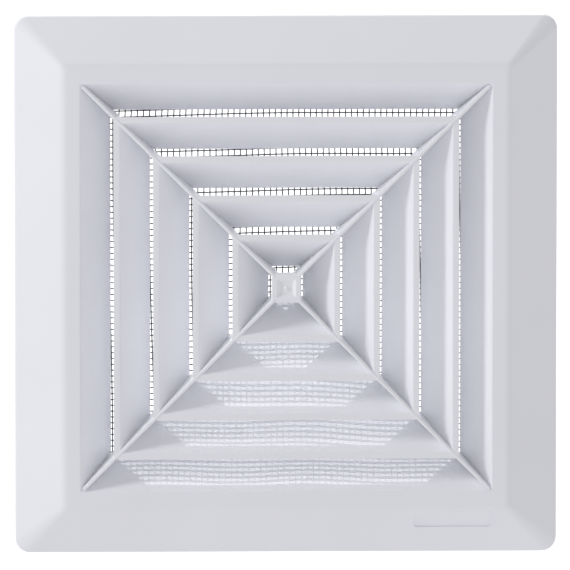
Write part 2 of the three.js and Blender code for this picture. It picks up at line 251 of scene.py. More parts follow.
def lathe(name, profile, axis_matrix, sides=32):
    """A solid of revolution from (radius, height) points, stood along +Z and then moved by a matrix."""
    loops = []
    for radius, height in profile:
        radius = max(radius, SMALLEST_RADIUS)
        loops.append([axis_matrix @ Vector((
            radius * math.cos(math.tau * side / sides),
            radius * math.sin(math.tau * side / sides),
            height,
        )) for side in range(sides)])
    return loft(name, loops)


def facing_back(x, y, z):
    """Stands a lathe profile along the duct axis, with its heights growing toward the duct."""
    return Matrix.Translation((x, y, z)) @ Matrix.Rotation(math.radians(-90), 4, "X")


def facing_front(x, y, z):
    """Stands a lathe profile along the duct axis, with its heights growing toward the face."""
    return Matrix.Translation((x, y, z)) @ Matrix.Rotation(math.radians(90), 4, "X")


def along_x(x, y, z):
    """Stands a lathe profile along X."""
    return Matrix.Translation((x, y, z)) @ Matrix.Rotation(math.radians(90), 4, "Y")


def quarter_turn(quarters):
    """A turn by quarters about the duct axis."""
    return Matrix.Rotation(math.radians(90 * quarters), 4, "Y")


def quarter_copy(item, quarters, name=None):
    """A copy turned by quarters about the duct axis, with the turn in its mesh."""
    copy = item.copy()
    copy.data = item.data.copy()
    if name:
        copy.name = name
    bpy.context.scene.collection.objects.link(copy)
    copy.data.transform(quarter_turn(quarters))
    return copy


def on_four_sides(target, tool, operation):
    """Joins or cuts target with four turned copies of tool, which is used up."""
    for quarters in range(4):
        combine(target, quarter_copy(tool, quarters), operation)
    discard(tool)


# Materials.
EVEN = (1, 1, 1)


def grey(level):
    """A level as a colour, for a ramp that drives a number."""
    return (level, level, level)


def new_material(name):
    material = bpy.data.materials.new(name)
    material.use_nodes = True
    return material, material.node_tree.nodes, material.node_tree.links


def object_position(nodes, links, scale):
    """Position on the object in metres, stretched along each axis."""
    place = nodes.new("ShaderNodeTexCoord")
    mapping = nodes.new("ShaderNodeMapping")
    mapping.inputs["Scale"].default_value = scale
    links.new(place.outputs["Object"], mapping.inputs["Vector"])
    return mapping.outputs["Vector"]


def noise(nodes, links, vector, scale, detail, roughness=0.5):
    node = nodes.new("ShaderNodeTexNoise")
    node.inputs["Scale"].default_value = scale
    node.inputs["Detail"].default_value = detail
    node.inputs["Roughness"].default_value = roughness
    links.new(vector, node.inputs["Vector"])
    return node.outputs["Fac"]


def ramp(nodes, links, value, stops):
    node = nodes.new("ShaderNodeValToRGB")
    while len(node.color_ramp.elements) < len(stops):
        node.color_ramp.elements.new(0.5)
    for element, (position, colour) in zip(node.color_ramp.elements, stops):
        element.position = position
        element.color = (*colour, 1)
    links.new(value, node.inputs["Fac"])
    return node.outputs["Color"]


def bump(nodes, links, height, strength, distance):
    node = nodes.new("ShaderNodeBump")
    node.inputs["Strength"].default_value = strength
    node.inputs["Distance"].default_value = distance
    links.new(height, node.inputs["Height"])
    return node.outputs["Normal"]


def moulded_plastic(name, colour, gloss_range, grain):
    """Injection-moulded plastic: slow tone drift, fine grain and uneven gloss."""
    material, nodes, links = new_material(name)
    shader = nodes["Principled BSDF"]
    vector = object_position(nodes, links, EVEN)
    drift = noise(nodes, links, vector, scale=22, detail=2)
    darker = tuple(c * 0.985 for c in colour)
    links.new(ramp(nodes, links, drift, [(0.35, darker), (0.65, colour)]), shader.inputs["Base Color"])
    gloss = noise(nodes, links, vector, scale=160, detail=4)
    low, high = gloss_range
    links.new(ramp(nodes, links, gloss, [(0.3, grey(low)), (0.7, grey(high))]), shader.inputs["Roughness"])
    surface = noise(nodes, links, vector, scale=2600, detail=3, roughness=0.6)
    links.new(bump(nodes, links, surface, strength=grain, distance=0.06 * MM), shader.inputs["Normal"])
    shader.inputs["Specular IOR Level"].default_value = 0.4
    return material


def plated_steel(name, colour, roughness, streaks):
    """Zinc-plated or drawn steel with fine streaks and mottled plating."""
    material, nodes, links = new_material(name)
    shader = nodes["Principled BSDF"]
    shader.inputs["Metallic"].default_value = 1.0
    vector = object_position(nodes, links, streaks)
    lines = noise(nodes, links, vector, scale=900, detail=4)
    low = tuple(c * 0.82 for c in colour)
    links.new(ramp(nodes, links, lines, [(0.3, low), (0.7, colour)]), shader.inputs["Base Color"])
    spots = noise(nodes, links, object_position(nodes, links, EVEN), scale=420, detail=3)
    spread = ramp(nodes, links, spots, [(0.3, grey(roughness * 0.8)), (0.7, grey(roughness * 1.3))])
    links.new(spread, shader.inputs["Roughness"])
    links.new(bump(nodes, links, lines, strength=0.25, distance=0.04 * MM), shader.inputs["Normal"])
    return material


def foam_rubber(name):
    """Dark closed-cell foam with small open pores."""
    material, nodes, links = new_material(name)
    shader = nodes["Principled BSDF"]
    vector = object_position(nodes, links, EVEN)
    cells = nodes.new("ShaderNodeTexVoronoi")
    cells.inputs["Scale"].default_value = 1500
    links.new(vector, cells.inputs["Vector"])
    pores = cells.outputs["Distance"]
    stops = [(0.1, (0.02, 0.021, 0.024)), (0.6, (0.06, 0.062, 0.068))]
    links.new(ramp(nodes, links, pores, stops), shader.inputs["Base Color"])
    shader.inputs["Roughness"].default_value = 0.95
    links.new(bump(nodes, links, pores, strength=0.8, distance=0.3 * MM), shader.inputs["Normal"])
    return material


def coated_wire(name):
    """Dark coated wire."""
    material, nodes, links = new_material(name)
    shader = nodes["Principled BSDF"]
    vector = object_position(nodes, links, EVEN)
    tone = noise(nodes, links, vector, scale=500, detail=3)
    stops = [(0.3, (0.035, 0.038, 0.05)), (0.7, (0.075, 0.08, 0.1))]
    links.new(ramp(nodes, links, tone, stops), shader.inputs["Base Color"])
    shader.inputs["Roughness"].default_value = 0.45
    shader.inputs["Metallic"].default_value = 0.3
    return material


WHITE = moulded_plastic("white_plastic", (0.925, 0.932, 0.968), (0.36, 0.46), 0.12)
BACK_WHITE = moulded_plastic("back_plastic", (0.66, 0.67, 0.69), (0.5, 0.62), 0.3)
NET = coated_wire("screen_wire")
FOAM = foam_rubber("gasket_foam")
SCREW_STEEL = plated_steel("screw_steel", (0.62, 0.63, 0.65), 0.3, EVEN)
CLIP_STEEL = plated_steel("clip_steel", (0.66, 0.67, 0.69), 0.28, (1, 12, 12))
PIN_STEEL = plated_steel("pin_steel", (0.6, 0.6, 0.62), 0.2, (12, 1, 1))
SPRING_WIRE = plated_steel("spring_wire", (0.5, 0.51, 0.53), 0.25, (8, 8, 1))


def dress_piece(item, node, material):
    """Gives a piece its material and hides the CAD part that it stands for."""
    item.data.materials.clear()
    item.data.materials.append(material)
    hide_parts(node)


def finish_piece(item, node, body, material):
    """Dresses a piece and makes it move with a body."""
    dress_piece(item, node, material)
    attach(item, body)


# Louvre geometry.

def rim_half(ring):
    """Half width of a louvre's rim. Ring 0 is the cone of the face frame and ring 5 the centre boss."""
    return RIM_HALVES[0] + (1 - ring) * RING_PITCH


def cone_half(ring, y):
    """Half width of a louvre's inner face at a depth."""
    back_half = rim_half(ring + 1) + SIGHT_GAP
    front_half = rim_half(ring) - RIM_WIDTH
    back_y = CONE_BACK_Y if ring == 0 else CORE_BACK_Y
    return back_half + (front_half - back_half) * (back_y - y) / (back_y - FACE_Y)


def bevel_y(half):
    """Depth of the bezel's slope at a half width."""
    return -FRAME_EDGE - (FRAME_HALF - half) * (BEVEL_RISE / BEVEL_RUN)


# Sunk plate panel on the lower slope: a plain field with a raised border.
PANEL_X = 61.3
PANEL_HALF = 86.8
PANEL_LENGTH = 29.5
PANEL_WIDTH = 8.0
PANEL_CORNER = 1.5
PANEL_BORDER = 0.5
PANEL_BORDER_RISE = 0.14
PANEL_DEPTH = 0.4


def make_panel_part(name, inset, low_y, high_y, rounding):
    """A rounded block in the plane of the lower slope, centred on the panel, with depths from the slope."""
    half_x = PANEL_LENGTH / 2 - inset
    half_z = PANEL_WIDTH / 2 - inset
    corner = PANEL_CORNER - inset * 0.6
    levels = [(low_y, rounding), (low_y + rounding * 0.3, rounding * 0.3), (low_y + rounding, 0), (high_y, 0)]
    loops = [rounded_loop(half_x - shrink, half_z - shrink, corner, y, 8) for y, shrink in levels]
    part = loft(name, loops)
    place = Matrix.Translation(Vector((PANEL_X, bevel_y(PANEL_HALF), -PANEL_HALF)) * MM)
    part.data.transform(place @ Matrix.Rotation(math.atan2(BEVEL_RISE, BEVEL_RUN), 4, "X"))
    return part


def add_ribs(frame_piece, hollow_half, hollow_y, skirt_half):
    """Stiffening ribs behind the slope, two on each side."""
    rib_back_y = -0.6
    outline = [
        (hollow_half + 1, hollow_y - 0.6),
        (skirt_half + 0.5, -FRAME_EDGE - WALL / 2),
        (skirt_half + 0.5, rib_back_y),
        (PLATE_HALF + 1, rib_back_y),
        (PLATE_HALF + 1, PLATE_FRONT_Y),
        (hollow_half + 1, PLATE_FRONT_Y),
    ]
    for offset in RIB_OFFSETS:
        ends = (offset - RIB_THICKNESS / 2, offset + RIB_THICKNESS / 2)
        rib = loft("stiffening_rib", [[(x, y, half) for half, y in outline] for x in ends])
        on_four_sides(frame_piece, rib, "UNION")


def make_face_frame():
    slope = BEVEL_RISE / BEVEL_RUN
    hollow_y = FACE_Y + WALL
    skirt_half = FRAME_HALF - WALL
    skirt_y = -FRAME_EDGE - WALL * slope + WALL * math.hypot(BEVEL_RUN, BEVEL_RISE) / BEVEL_RUN
    hollow_half = skirt_half - (skirt_y - hollow_y) / slope
    lip_half = cone_half(0, FACE_Y)
    back_half = cone_half(0, CONE_BACK_Y)
    frame_piece = square_frame("moulded_face_frame", [
        (FRAME_HALF, 0, FRAME_CORNER, 0.25),
        (FRAME_HALF, -FRAME_EDGE, FRAME_CORNER, 0.9),
        (BEVEL_INNER_HALF, FACE_Y, 1.6, 1.6),
        (lip_half, FACE_Y, 0.9, 0.45),
        (back_half, CONE_BACK_Y, 0.4, 0.3),
        (back_half + RIM_WIDTH, CONE_BACK_Y, 0.6, 0.2),
        (cone_half(0, hollow_y) + RIM_WIDTH, hollow_y, 0.8, 0.6),
        (hollow_half, hollow_y, 1.2, 0.6),
        (skirt_half, skirt_y, FRAME_CORNER - WALL, 0.5),
        (skirt_half, 0, FRAME_CORNER - WALL, 0.2),
    ])

    boss = lathe("screw_boss", [
        (3.9, hollow_y - 0.5),
        (3.5, hollow_y + 0.6),
        (3.3, PLATE_FRONT_Y - 0.3),
        (3.0, PLATE_FRONT_Y),
        (SCREW_HOLE_RADIUS, PLATE_FRONT_Y),
        (1.4, PLATE_FRONT_Y - 0.4),
        (1.4, hollow_y + 0.7),
    ], facing_back(SCREW_AT, 0, SCREW_AT))
    on_four_sides(frame_piece, boss, "UNION")
    add_ribs(frame_piece, hollow_half, hollow_y, skirt_half)

    border = make_panel_part("panel_border", inset=0, low_y=-PANEL_BORDER_RISE, high_y=0.3, rounding=0.3)
    combine(frame_piece, border, "UNION")
    field = make_panel_part("panel_field", inset=PANEL_BORDER, low_y=-1, high_y=PANEL_DEPTH, rounding=0)
    combine(frame_piece, field, "DIFFERENCE")
    smooth(frame_piece)
    finish_piece(frame_piece, "face_frame", "housing", WHITE)


# Core: the cross of webs and the louvre rings that it holds.
BOSS_THICKNESS = 2.8
BOSS_RECESS_DEPTH = 1.0
RIDGE_HALF_WIDTH = 0.33
CREST_HALF_WIDTH = 0.56
WEB_HALF_WIDTH = 0.66
WEB_ROOT_HALF_WIDTH = 0.85
WEB_END_GAP = 0.3
CROSS_FLAT_AREA = 1.2


def make_web(name, back_y):
    """A web across the opening, lying along X: a flat crest with a fine ridge along it."""
    end_steps = 8
    draft = (WEB_ROOT_HALF_WIDTH - WEB_HALF_WIDTH) / (CORE_BACK_Y - FACE_Y)
    levels = [
        (CREST_Y + 0.08, RIDGE_HALF_WIDTH - 0.08),
        (CREST_Y + 0.14, RIDGE_HALF_WIDTH),
        (FACE_Y - 0.02, RIDGE_HALF_WIDTH + 0.04),
        (FACE_Y, CREST_HALF_WIDTH),
        (FACE_Y + 0.1, WEB_HALF_WIDTH),
        (back_y, WEB_HALF_WIDTH + draft * (back_y - FACE_Y)),
    ]
    loops = []
    for y, half_width in levels:
        reach = math.sqrt(2) * cone_half(0, max(y, FACE_Y)) - WEB_END_GAP - WEB_ROOT_HALF_WIDTH - half_width
        loop = []
        for end, first_angle in ((reach, -90), (-reach, 90)):
            for step in range(end_steps + 1):
                angle = math.radians(first_angle + 180 * step / end_steps)
                loop.append((end + half_width * math.cos(angle), y, half_width * math.sin(angle)))
        loops.append(loop)
    return loft(name, loops)


def make_cross(name, back_y):
    """Two webs from corner to corner of the opening."""
    cross = make_web(name, back_y)
    cross.data.transform(Matrix.Rotation(math.radians(45), 4, "Y"))
    web = make_web(name, back_y)
    web.data.transform(Matrix.Rotation(math.radians(135), 4, "Y"))
    combine(cross, web, "UNION")
    return cross


def square_block(name, levels, corner):
    """A block from (half width, depth) levels."""
    return loft(name, [rounded_loop(half, half, corner, y, 5) for half, y in levels])


def add_boss(cross):
    """The square boss in the middle, with a sunk centre and the round mark of the moulding gate.

    Its front and the cut that clears the crests stand a little off FACE_Y, so that no two faces coincide.
    """
    boss_half = rim_half(RING_COUNT + 1)
    boss = square_block("boss", [
        (boss_half - 0.36, FACE_Y - 0.015),
        (boss_half - 0.08, FACE_Y + 0.36),
        (boss_half, FACE_Y + 0.65),
        (boss_half - 0.05, FACE_Y + BOSS_THICKNESS),
    ], 0.35)
    combine(cross, boss, "UNION")
    clear_half = boss_half - 0.75
    crest_clear = square_block("crest_clear", [(clear_half, CREST_Y - 1), (clear_half, FACE_Y - 0.01)], 0.3)
    combine(cross, crest_clear, "DIFFERENCE")
    recess = square_block("recess", [
        (4.0, FACE_Y - 0.5),
        (3.62, FACE_Y),
        (3.48, FACE_Y + 0.12),
        (2.42, FACE_Y + 0.92),
        (2.2, FACE_Y + BOSS_RECESS_DEPTH),
    ], 0.25)
    combine(cross, recess, "DIFFERENCE")
    gate = lathe("gate_mark", [
        (1.4, -0.4), (1.4, 0.0), (1.3, 0.14), (1.14, 0.16), (1.02, 0.02), (0.86, 0.0),
        (0.78, 0.12), (0.66, 0.36), (0.46, 0.52), (0.22, 0.6), (0.0, 0.62),
    ], facing_front(0, FACE_Y + BOSS_RECESS_DEPTH, 0), 28)
    combine(cross, gate, "UNION")


def cut_lap_slots(cross):
    """Slots in the rear of the cross, where the louvres lap into it. They run out past its back."""
    slot_end_y = CORE_BACK_Y + 1
    for ring in range(1, RING_COUNT + 1):
        slot = square_frame("lap_slot", [
            (cone_half(ring, LAP_Y) + RIM_WIDTH, LAP_Y, 0.35, 0),
            (cone_half(ring, LAP_Y), LAP_Y, 0.35, 0),
            (cone_half(ring, slot_end_y), slot_end_y, 0.3, 0),
            (cone_half(ring, slot_end_y) + RIM_WIDTH, slot_end_y, 0.3, 0),
        ], 3)
        combine(cross, slot, "DIFFERENCE")


def make_core():
    cross = make_cross("moulded_core_cross", CORE_BACK_Y)
    add_boss(cross)
    cut_lap_slots(cross)
    smooth(cross, flat_above=CROSS_FLAT_AREA)
    finish_piece(cross, "core_cross", "core", WHITE)

    for ring in range(1, RING_COUNT + 1):
        front = cone_half(ring, FACE_Y)
        back = cone_half(ring, CORE_BACK_Y)
        louvre = square_frame(f"moulded_louvre_{ring}", [
            (front + RIM_WIDTH, FACE_Y, 0.35, 0.3),
            (front, FACE_Y, 0.35, 0.3),
            (back, CORE_BACK_Y, 0.3, 0.3),
            (back + RIM_WIDTH, CORE_BACK_Y, 0.5, 0.3),
        ], 4)
        combine(louvre, make_cross("lap_notch", LAP_Y), "DIFFERENCE")
        smooth(louvre)
        finish_piece(louvre, f"louvre_ring_{ring}", "core", WHITE)


# Insect screen: a woven net of round wires.
NET_PITCH = 2.2
NET_WIRE_RADIUS = 0.25
NET_SIDES = 5
NET_WEAVE = NET_WIRE_RADIUS * 0.3
NET_TURN_DEGREES = 0.7
NET_EDGE_GAP = 0.4
NET_CLAMP_WIDTH = 1.5
NET_WAVE_HEIGHT = 0.9


def net_depth(x, z):
    """Depth of the loosely held net: flat where it is clamped and gently wavy inside."""
    hold = min(1.0, (SCREEN_FRAME_INNER_HALF - max(abs(x), abs(z))) / 9)
    wave = 0.5 + 0.28 * math.sin(x / 8.5 + 0.6) + 0.22 * math.sin(z / 7.0 + x / 19 + 1.1)
    return SCREEN_FRONT_Y + 0.2 + max(0.0, hold) * NET_WAVE_HEIGHT * wave


def net_drift(along, across):
    """Sideways wander of a wire in the plane of the net."""
    return 0.45 * math.sin(along / 24 + across / 37) + 0.03 * math.sin(along / 9.1 + across / 6.7)


def wire_loops(direction, index, first, count):
    """Cross sections of one wire, which runs along X for direction 0 and along Z for direction 1."""
    turn = math.radians(NET_TURN_DEGREES)
    reach = SCREEN_HALF - NET_EDGE_GAP
    across = first + index * NET_PITCH
    loops = []
    for step in range(-1, count + 1):
        along = max(-reach, min(reach, first + step * NET_PITCH))
        side = across + net_drift(along, across * (1.7 if direction else 1.0))
        x, z = (along, side) if direction == 0 else (side, along)
        hold = min(1.0, max(0.0, (SCREEN_HALF - NET_CLAMP_WIDTH - max(abs(x), abs(z))) / 6))
        x, z = x - turn * z * hold, z + turn * x * hold
        y = net_depth(x, z) + NET_WEAVE * (1 if (index + step + direction) % 2 else -1)
        loop = []
        for corner in range(NET_SIDES):
            angle = math.tau * corner / NET_SIDES
            out = NET_WIRE_RADIUS * math.cos(angle)
            up = NET_WIRE_RADIUS * math.sin(angle)
            loop.append((x, y + up, z + out) if direction == 0 else (x + out, y + up, z))
        loops.append(loop)
    return loops


def make_insect_screen():
    """All the wires of the net as one mesh: one set along X and one along Z."""
    vertices = []
    faces = []
    count = int(SCREEN_HALF * 2 / NET_PITCH) - 1
    first = -(count - 1) / 2 * NET_PITCH
    for direction in (0, 1):
        for index in range(count):
            loops = wire_loops(direction, index, first, count)
            start = len(vertices)
            vertices.extend(v for loop in loops for v in loop)
            faces.extend(tuple(start + i for i in face) for face in bridge(loops, False))
    net = make_object("woven_insect_net", vertices, faces)
    net.data.polygons.foreach_set("use_smooth", [True] * len(net.data.polygons))
    finish_piece(net, "insect_screen", "housing", NET)


def make_screen_frame():
    piece = square_frame("moulded_screen_frame", [
        (SCREEN_FRAME_HALF, SCREEN_BACK_Y, 2, 0.2),
        (SCREEN_FRAME_INNER_HALF, SCREEN_BACK_Y, 1, 0.3),
        (SCREEN_FRAME_INNER_HALF, LEDGE_FRONT_Y, 1, 0.3),
        (SCREEN_FRAME_HALF, LEDGE_FRONT_Y, 2, 0.2),
    ], 5)
    smooth(piece)
    finish_piece(piece, "screen_frame", "housing", BACK_WHITE)


# Neck collar with its clip lugs.
LUG_OFFSET = 9.0
LUG_THICKNESS = 2.5
LUG_RADIUS = 3.4
LUG_EDGE = 0.35
LUG_ROOT_HALF = NECK_HALF - 0.6
LUG_FOOT_HALF = NECK_HALF + 1.0
PIN_RADIUS = 1.0
PIN_HEAD_RADIUS = 1.9
PIN_HOLE_RADIUS = 1.3


def make_lug(middle):
    """A round-ended lug for the pin, which flares where it meets the neck."""
    half = LUG_THICKNESS / 2
    flare = 1.2
    arc_steps = 16
    loops = []
    for x, shrink in ((-half, LUG_EDGE), (-half + LUG_EDGE, 0), (half - LUG_EDGE, 0), (half, LUG_EDGE)):
        radius = LUG_RADIUS - shrink
        loop = [(x, PIN_Y - radius - flare, LUG_ROOT_HALF), (x, PIN_Y - radius, LUG_FOOT_HALF)]
        for step in range(arc_steps + 1):
            angle = math.radians(180 - 180 * step / arc_steps)
            loop.append((x, PIN_Y + radius * math.cos(angle), PIN_HALF + radius * math.sin(angle)))
        loop += [(x, PIN_Y + radius, LUG_FOOT_HALF), (x, PIN_Y + radius + flare, LUG_ROOT_HALF)]
        loops.append([(px + middle, py, pz) for px, py, pz in loop])
    return loft("clip_lug", loops)


def make_neck_collar():
    neck_inner = NECK_HALF - WALL
    inner_corner = NECK_CORNER - WALL
    ledge_back = LEDGE_FRONT_Y + LEDGE_THICKNESS
    collar = square_frame("moulded_neck_collar", [
        (PLATE_HALF, PLATE_BACK_Y, NECK_CORNER, 0.3),
        (PLATE_HALF, PLATE_FRONT_Y, NECK_CORNER, 0.3),
        (neck_inner, PLATE_FRONT_Y, inner_corner, 0.3),
        (neck_inner, LEDGE_FRONT_Y, inner_corner, 0.1),
        (LEDGE_HALF, LEDGE_FRONT_Y, 1, 0.3),
        (LEDGE_HALF, ledge_back, 1, 0.4),
        (neck_inner, ledge_back, inner_corner, 0.6),
        (neck_inner, NECK_END_Y, inner_corner, 0.4),
        (NECK_HALF, NECK_END_Y, NECK_CORNER, 0.6),
        (NECK_HALF, PLATE_BACK_Y, NECK_CORNER, 1.0),
    ])
    for middle in (-LUG_OFFSET, LUG_OFFSET):
        on_four_sides(collar, make_lug(middle), "UNION")
    hole = lathe("pin_hole", [(PIN_HOLE_RADIUS, -20), (PIN_HOLE_RADIUS, 20)], along_x(0, PIN_Y, PIN_HALF), 24)
    on_four_sides(collar, hole, "DIFFERENCE")
    screw_hole = lathe("screw_hole", [
        (SCREW_HOLE_RADIUS, PLATE_FRONT_Y - 1),
        (SCREW_HOLE_RADIUS, PLATE_BACK_Y - 0.3),
        (2.1, PLATE_BACK_Y + 0.3),
    ], facing_back(SCREW_AT, 0, SCREW_AT), 24)
    on_four_sides(collar, screw_hole, "DIFFERENCE")
    smooth(collar)
    finish_piece(collar, "neck_collar", "housing", BACK_WHITE)


def make_gasket():
    gasket = square_frame("foam_seal", [
        (PLATE_HALF, PLATE_BACK_Y, NECK_CORNER, 0.2),
        (GASKET_INNER_HALF, PLATE_BACK_Y, 1, 0.2),
        (GASKET_INNER_HALF, 0, 1, 0.9),
        (PLATE_HALF, 0, NECK_CORNER, 0.9),
    ], 6)
    smooth(gasket, 60)
    finish_piece(gasket, "foam_gasket", "housing", FOAM)


# Fixings.
SCREW_RADIUS = 1.2
SCREW_HEAD_RADIUS = 2.8
SCREW_HEAD_HEIGHT = 2.0
SCREW_TIP_Y = PLATE_BACK_Y - 7.5
SCREW_TOP_Y = PLATE_BACK_Y + SCREW_HEAD_HEIGHT
THREAD_PITCH = 1.1
THREAD_ROOT_RADIUS = 0.86


def screw_profile():
    """Half section of a screw from its tip: a coarse thread, then a pan head with a round shoulder."""
    head_y = PLATE_BACK_Y
    profile = [(0.3, SCREW_TIP_Y)]
    y = SCREW_TIP_Y + 0.9
    while y < head_y - 1.0:
        profile.append((THREAD_ROOT_RADIUS, y))
        profile.append((SCREW_RADIUS, y + THREAD_PITCH * 0.4))
        profile.append((THREAD_ROOT_RADIUS, y + THREAD_PITCH * 0.75))
        y += THREAD_PITCH
    profile += [(0.95, head_y - 0.2), (1.1, head_y + 0.02), (SCREW_HEAD_RADIUS - 0.15, head_y + 0.02)]
    shoulder_steps = 6
    for step in range(shoulder_steps + 1):
        angle = math.radians(90 * step / shoulder_steps)
        radius = SCREW_HEAD_RADIUS - 1.0 + math.cos(angle)
        profile.append((radius, SCREW_TOP_Y - 1.25 + 1.05 * math.sin(angle)))
    profile.append((0.0, SCREW_TOP_Y))
    return profile


def make_driver_blade(turned):
    """A tapered blade that cuts one arm of a screw's cross recess."""
    levels = [(-1.15, 0.55, 0.22), (-0.5, 1.25, 0.28), (0.3, 1.6, 0.36)]
    loops = []
    for depth, length, width in levels:
        y = SCREW_TOP_Y + depth
        loops.append([(-length, y, -width), (length, y, -width), (length, y, width), (-length, y, width)])
    blade = loft("driver_blade", loops)
    place = Matrix.Translation(Vector((SCREW_AT, 0, SCREW_AT)) * MM)
    blade.data.transform(place @ quarter_turn(turned))
    return blade


def make_screws():
    """Pan-head screws with a cross recess and a coarse thread."""
    screw = lathe("pan_head_screw", screw_profile(), facing_back(SCREW_AT, 0, SCREW_AT), 28)
    for turned in (0, 1):
        combine(screw, make_driver_blade(turned), "DIFFERENCE")
    smooth(screw, 40)
    for quarters in range(4):
        copy = quarter_copy(screw, quarters, f"zinc_screw_{quarters + 1}")
        finish_piece(copy, f"collar_screw_{quarters + 1}", "housing", SCREW_STEEL)
    discard(screw)


# Sides in the order of quarter turns about the duct axis.
SIDES = ("top", "right", "bottom", "left")
ARM_REACH = 20.0
ARM_HALF_WIDTH = 7.0
ARM_TIP_HALF_WIDTH = 5.6
ARM_THICKNESS = 1.0
ARM_FOOT = 3.3
KNUCKLE_RADIUS = 2.2
KNUCKLE_LENGTH = 4.0
COIL_WINDOW_END = 6.8
SHEET_EDGE = 0.22


def sheet_path():
    """Middle line of the pressed arm in (depth, distance from the pin), from the window to the foot."""
    bend = 1.6
    bend_steps = 6
    end = ARM_REACH - ARM_THICKNESS / 2
    points = [(0.0, COIL_WINDOW_END - 1.4), (0.0, end - bend)]
    for step in range(1, bend_steps + 1):
        angle = math.radians(90 * step / bend_steps)
        points.append((-bend * (1 - math.cos(angle)), end - bend + bend * math.sin(angle)))
    points.append((-ARM_FOOT + 0.02, end))
    return points


def strip(name, path, half_widths, thickness, x_middle=0.0):
    """A bent sheet-metal strip with eased edges: the path is in (depth, distance) from the pin."""
    loops = []
    for index, (depth, distance) in enumerate(path):
        ahead = path[min(index + 1, len(path) - 1)]
        behind = path[max(index - 1, 0)]
        tangent = Vector((ahead[0] - behind[0], ahead[1] - behind[1])).normalized()
        normal = Vector((tangent.y, -tangent.x)) * (thickness / 2)
        width = half_widths[index]
        inner = width - thickness * SHEET_EDGE
        eased = 1 - 2 * SHEET_EDGE
        corners = [(-inner, 1), (inner, 1), (width, eased), (width, -eased),
                   (inner, -1), (-inner, -1), (-width, -eased), (-width, eased)]
        loops.append([(x_middle + x, PIN_Y + depth + normal.x * side, PIN_HALF + distance + normal.y * side)
                      for x, side in corners])
    return loft(name, loops)


def make_bead():
    """A long raised bead that stiffens the arm, from (distance, half width, height) stations."""
    stations = [(8.6, 0.5, 0.15), (9.6, 1.2, 0.42), (15.6, 1.2, 0.42), (16.8, 0.5, 0.15)]
    arc_steps = 8
    loops = []
    for distance, half, height in stations:
        loop = []
        for step in range(arc_steps + 1):
            angle = math.radians(180 * step / arc_steps)
            loop.append((half * math.cos(angle), PIN_Y + 0.4 + height * math.sin(angle), PIN_HALF + distance))
        loops.append(loop)
    return loft("stiffening_bead", loops)


def make_clip_arm():
    path = sheet_path()
    spread = [ARM_HALF_WIDTH] + [ARM_TIP_HALF_WIDTH] * (len(path) - 1)
    arm = strip("pressed_clip_arm", path, spread, ARM_THICKNESS)
    half = KNUCKLE_LENGTH / 2
    chamfer = 0.2
    for side in (-1, 1):
        middle = side * (ARM_HALF_WIDTH - half)
        leg = [(0.0, KNUCKLE_RADIUS - 0.9), (0.0, COIL_WINDOW_END - 0.6)]
        combine(arm, strip("arm_leg", leg, [half, half], ARM_THICKNESS, middle), "UNION")
        barrel = lathe("knuckle", [
            (KNUCKLE_RADIUS - chamfer, -half),
            (KNUCKLE_RADIUS, -half + chamfer),
            (KNUCKLE_RADIUS, half - chamfer),
            (KNUCKLE_RADIUS - chamfer, half),
        ], along_x(middle, PIN_Y, PIN_HALF), 32)
        combine(arm, barrel, "UNION")
        heel = block("heel", (middle - half + 0.05, middle + half - 0.05),
                     (PIN_Y - KNUCKLE_RADIUS - 1.2, PIN_Y - 0.5), (NECK_HALF + 0.45, PIN_HALF - 1.6))
        combine(arm, heel, "UNION")
    bore = lathe("pin_bore", [(PIN_HOLE_RADIUS, -12), (PIN_HOLE_RADIUS, 12)], along_x(0, PIN_Y, PIN_HALF), 32)
    combine(arm, bore, "DIFFERENCE")
    combine(arm, make_bead(), "UNION")
    smooth(arm, 40)
    return arm


def make_clip_pin():
    """A round pin with a domed head at one end and a peened end at the other."""
    end = high_mm("clip_pin_top", 0)
    start = low_mm("clip_pin_top", 0)
    pin = lathe("headed_clip_pin", [
        (0.6, start),
        (PIN_RADIUS - 0.05, start + 0.25),
        (PIN_RADIUS, start + 0.5),
        (PIN_RADIUS, end - 1.0),
        (PIN_HEAD_RADIUS, end - 0.98),
        (PIN_HEAD_RADIUS, end - 0.7),
        (PIN_HEAD_RADIUS - 0.25, end - 0.35),
        (PIN_HEAD_RADIUS - 0.8, end - 0.1),
        (0.0, end),
    ], along_x(0, PIN_Y, PIN_HALF), 28)
    smooth(pin, 40)
    return pin


SPRING_WIRE_RADIUS = 0.35
SPRING_WIRE_SIDES = 10
SPRING_COIL_RADIUS = 2.1
SPRING_TURNS = 3.25
SPRING_COIL_LENGTH = 4.6
SPRING_NECK_LEG = 10
SPRING_ARM_LEG = 11


def spring_path():
    """Middle line of a torsion spring: a leg on the neck, the coil, and a leg through the arm's window."""
    steps_per_turn = 24
    steps = int(SPRING_TURNS * steps_per_turn)
    end_x = SPRING_COIL_LENGTH / 2
    bottom = PIN_HALF - SPRING_COIL_RADIUS
    path = [Vector((-end_x, PIN_Y + SPRING_NECK_LEG - 2 * step, bottom)) for step in range(5)]
    for step in range(steps + 1):
        angle = -math.pi / 2 - step / steps_per_turn * math.tau
        path.append(Vector((
            -end_x + SPRING_COIL_LENGTH * step / steps,
            PIN_Y + SPRING_COIL_RADIUS * math.cos(angle),
            PIN_HALF + SPRING_COIL_RADIUS * math.sin(angle),
        )))
    rest_y = PIN_Y + ARM_THICKNESS / 2 + SPRING_WIRE_RADIUS + 0.3
    front_y = PIN_Y - SPRING_COIL_RADIUS
    leg_steps = 8
    for step in range(1, leg_steps + 1):
        t = step / leg_steps
        ease = t * t * (3 - 2 * t)
        path.append(Vector((end_x, front_y + (rest_y - front_y) * ease, PIN_HALF + 1.0 + 7.0 * t)))
    path.append(Vector((end_x, rest_y, PIN_HALF + SPRING_ARM_LEG)))
    return path


